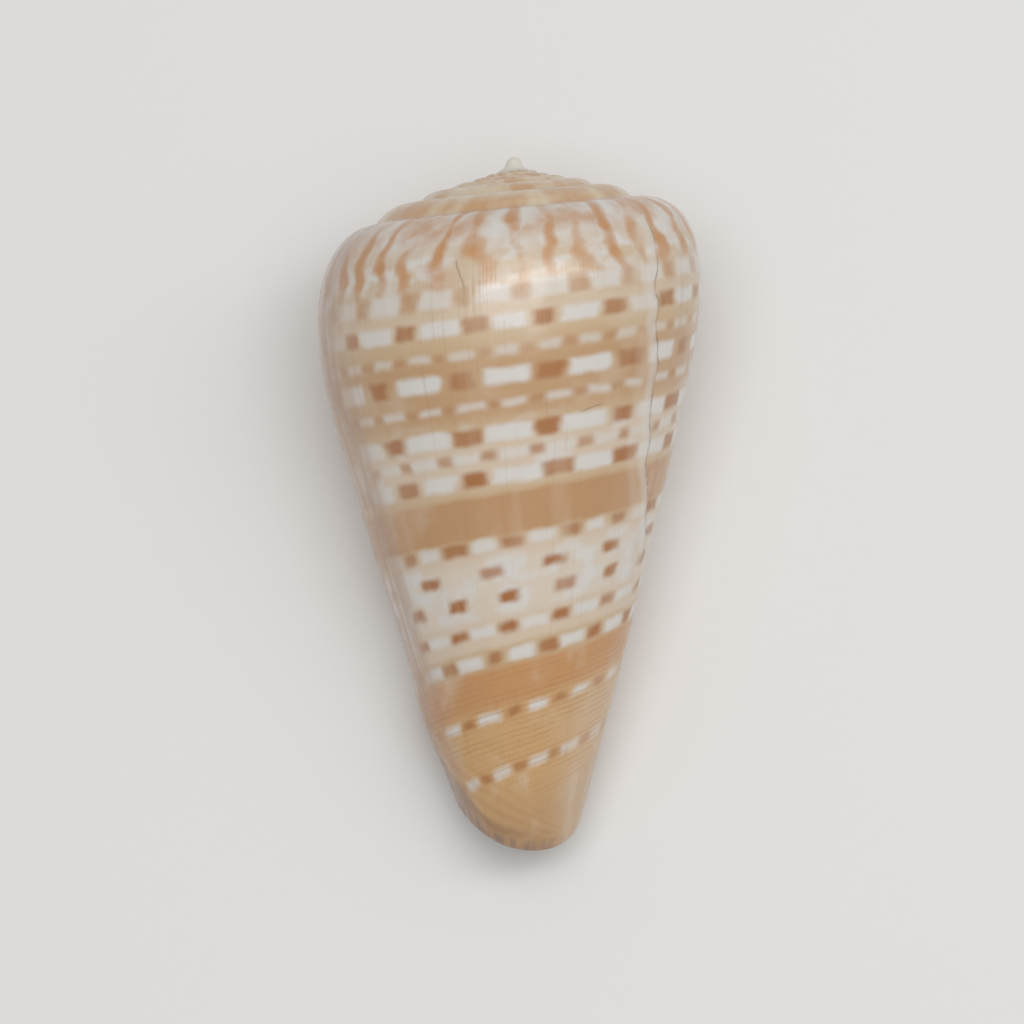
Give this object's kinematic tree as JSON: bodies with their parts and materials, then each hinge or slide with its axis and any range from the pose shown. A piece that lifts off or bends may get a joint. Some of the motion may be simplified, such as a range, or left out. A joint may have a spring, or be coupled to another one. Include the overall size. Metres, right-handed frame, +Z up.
{
  "type": "cone shell",
  "caption": "Seashell in the form of a tapering cone with a low stepped spire, a rounded shoulder and a long narrow opening, lying on its opening side.",
  "frame": {"origin": "centre of the bounding box on the surface that the shell lies on", "axes": "+Z up out of the shell's back, +Y from the narrow end towards the spire"},
  "size_m": [0.0334, 0.0596, 0.0312],
  "materials": {
    "shell": "gloss"
  },
  "bodies": {
    "root": {"cone_shell": "shell"}
  },
  "joints": []
}
